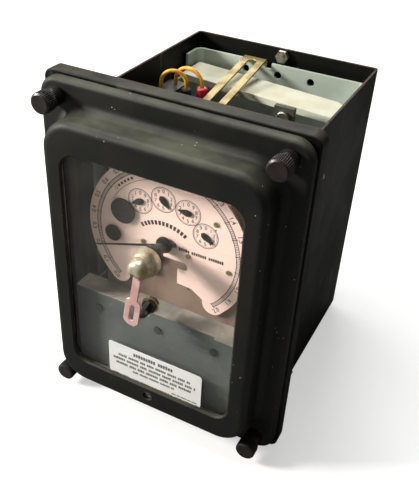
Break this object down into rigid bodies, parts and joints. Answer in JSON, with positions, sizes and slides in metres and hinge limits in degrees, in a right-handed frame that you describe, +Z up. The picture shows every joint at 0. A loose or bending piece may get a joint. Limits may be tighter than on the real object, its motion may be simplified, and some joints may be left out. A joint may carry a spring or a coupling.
{
  "type": "draw-out demand meter in a panel case",
  "caption": "Panel-mounted electricity demand meter in a black steel case, with a windowed cover on thumb nuts, a reset knob with hasp, and a draw-out cradle.",
  "frame": {"origin": "centre of the flange rear face, which seats on the panel, midway between the four panel studs", "axes": "+X right seen from the front, +Y into the panel, +Z up"},
  "size_m": [0.17, 0.2281, 0.23],
  "materials": {
    "black_steel": "semi-gloss black enamel on sheet steel",
    "black_moulded": "moulded black phenolic",
    "black_rubber": "black rubber",
    "red_rubber": "red soft plastic",
    "yellow_wire": "yellow lead insulation",
    "glass": "clear window glass",
    "steel": "plated steel",
    "grey_paint": "light grey-blue enamel",
    "slate_paint": "slate grey enamel",
    "copper_plate": "pinkish white lacquered dial metal",
    "white_board": "cream insulating board",
    "paper": "white paper",
    "brass": "dull brass",
    "nickel": "worn nickel plate over brass",
    "copper": "pink copper-coloured plate",
    "aluminium": "plain aluminium",
    "magnet": "cast magnet alloy",
    "tape": "varnished cloth tape"
  },
  "bodies": {
    "case": {"case_shell": "black_steel", "case_flange": "black_steel", "cover_studs": "steel", "panel_studs": "steel", "earth_stud": "steel", "case_guides": "steel", "terminal_block": "black_moulded", "contact_base": "black_moulded", "contact_jaws": "brass"},
    "cover": {"cover_gasket": "black_rubber", "cover_frame": "black_moulded", "cover_screw": "steel", "window_seal": "black_rubber", "window_glass": "glass", "glass_retainer": "steel", "notice_plate": "paper", "reset_bush": "brass", "glass_nuts": "brass", "seal_post": "black_moulded", "seal_post_washer": "brass"},
    "nut_1": {"thumb_nut_1": "black_moulded"},
    "nut_2": {"thumb_nut_2": "black_moulded"},
    "nut_3": {"thumb_nut_3": "black_moulded"},
    "nut_4": {"thumb_nut_4": "black_moulded"},
    "reset": {"reset_knob": "nickel", "reset_shaft": "brass", "hasp_pin": "steel"},
    "seal_hasp": {"hasp": "copper"},
    "cradle": {"cradle_chassis": "grey_paint", "front_plate": "slate_paint", "plate_screws": "black_moulded", "name_plate": "copper_plate", "cross_bar": "white_board", "slotted_strap": "brass", "meter_frame": "aluminium", "brake_magnet": "magnet", "coil_support": "steel", "potential_core": "steel", "potential_coil": "tape", "current_core": "steel", "current_coils": "tape", "contact_blades": "brass", "blade_carrier": "black_moulded", "interval_motor": "steel", "lead_block": "black_moulded", "boot_black": "black_rubber", "boot_red": "red_rubber", "leads": "yellow_wire", "adjuster_screw": "steel", "dial_plate": "copper_plate", "dial_screws": "brass", "register_frame": "brass"},
    "rotor": {"rotor": "aluminium"},
    "maximum_pointer": {"demand_pointer": "black_moulded"},
    "register_1": {"register_pointer_1": "black_moulded"},
    "register_2": {"register_pointer_2": "black_moulded"},
    "register_3": {"register_pointer_3": "black_moulded"},
    "register_4": {"register_pointer_4": "black_moulded"},
    "energy_disc": {"energy_test_disc": "black_moulded"},
    "interval_disc": {"interval_test_disc": "black_moulded"}
  },
  "joints": [
    {"name": "cover_off", "type": "slide", "parent": "case", "child": "cover", "axis": [0, -1, 0], "range_m": [0, 0.26]},
    {"name": "cradle_out", "type": "slide", "parent": "case", "child": "cradle", "axis": [0, -1, 0], "range_m": [0, 0.145]},
    {"name": "thumb_nut_1_turn", "type": "hinge", "parent": "cover", "child": "nut_1", "pos_m": [-0.0712, -0.025, 0.1033], "axis": [0, -1, 0], "continuous": true},
    {"name": "thumb_nut_2_turn", "type": "hinge", "parent": "cover", "child": "nut_2", "pos_m": [0.0712, -0.025, 0.1033], "axis": [0, -1, 0], "continuous": true},
    {"name": "thumb_nut_3_turn", "type": "hinge", "parent": "cover", "child": "nut_3", "pos_m": [-0.0712, -0.025, -0.1033], "axis": [0, -1, 0], "continuous": true},
    {"name": "thumb_nut_4_turn", "type": "hinge", "parent": "cover", "child": "nut_4", "pos_m": [0.0712, -0.025, -0.1033], "axis": [0, -1, 0], "continuous": true},
    {"name": "reset_turn", "type": "hinge", "parent": "cover", "child": "reset", "pos_m": [0.001, -0.04, 0.0262], "axis": [0, -1, 0], "range_deg": [-20, 300]},
    {"name": "hasp_swing", "type": "hinge", "parent": "reset", "child": "seal_hasp", "pos_m": [0.00058, -0.047, 0.02323], "axis": [-0.9903, 0, 0.1392], "range_deg": [0, 90]},
    {"name": "maximum_pointer_turn", "type": "hinge", "parent": "cradle", "child": "maximum_pointer", "pos_m": [0.001, -0.017, 0.0262], "axis": [0, 1, 0], "range_deg": [-27, 243]},
    {"name": "rotor_spin", "type": "hinge", "parent": "cradle", "child": "rotor", "pos_m": [0, 0.066, -0.04], "axis": [0, 0, 1], "continuous": true},
    {"name": "register_1_turn", "type": "hinge", "parent": "cradle", "child": "register_1", "pos_m": [-0.01669, -0.01, 0.04968], "axis": [0, 1, 0], "continuous": true},
    {"name": "register_2_turn", "type": "hinge", "parent": "cradle", "child": "register_2", "pos_m": [-0.0011, -0.01, 0.05552], "axis": [0, 1, 0], "continuous": true},
    {"name": "register_3_turn", "type": "hinge", "parent": "cradle", "child": "register_3", "pos_m": [0.01516, -0.01, 0.05196], "axis": [0, 1, 0], "continuous": true},
    {"name": "register_4_turn", "type": "hinge", "parent": "cradle", "child": "register_4", "pos_m": [0.02689, -0.01, 0.04014], "axis": [0, 1, 0], "continuous": true},
    {"name": "energy_disc_turn", "type": "hinge", "parent": "cradle", "child": "energy_disc", "pos_m": [-0.028, -0.01, 0.03997], "axis": [0, 1, 0], "continuous": true},
    {"name": "interval_disc_turn", "type": "hinge", "parent": "cradle", "child": "interval_disc", "pos_m": [-0.03545, -0.01, 0.02192], "axis": [0, 1, 0], "continuous": true}
  ],
  "couplings": [
    {"joint": "cradle_out", "follows": "cover_off", "ratio": 0.55},
    {"joint": "register_1_turn", "follows": "rotor_spin", "ratio": -0.00002},
    {"joint": "register_2_turn", "follows": "rotor_spin", "ratio": 0.0002},
    {"joint": "register_3_turn", "follows": "rotor_spin", "ratio": -0.002},
    {"joint": "register_4_turn", "follows": "rotor_spin", "ratio": 0.02},
    {"joint": "energy_disc_turn", "follows": "rotor_spin", "ratio": 0.2}
  ]
}
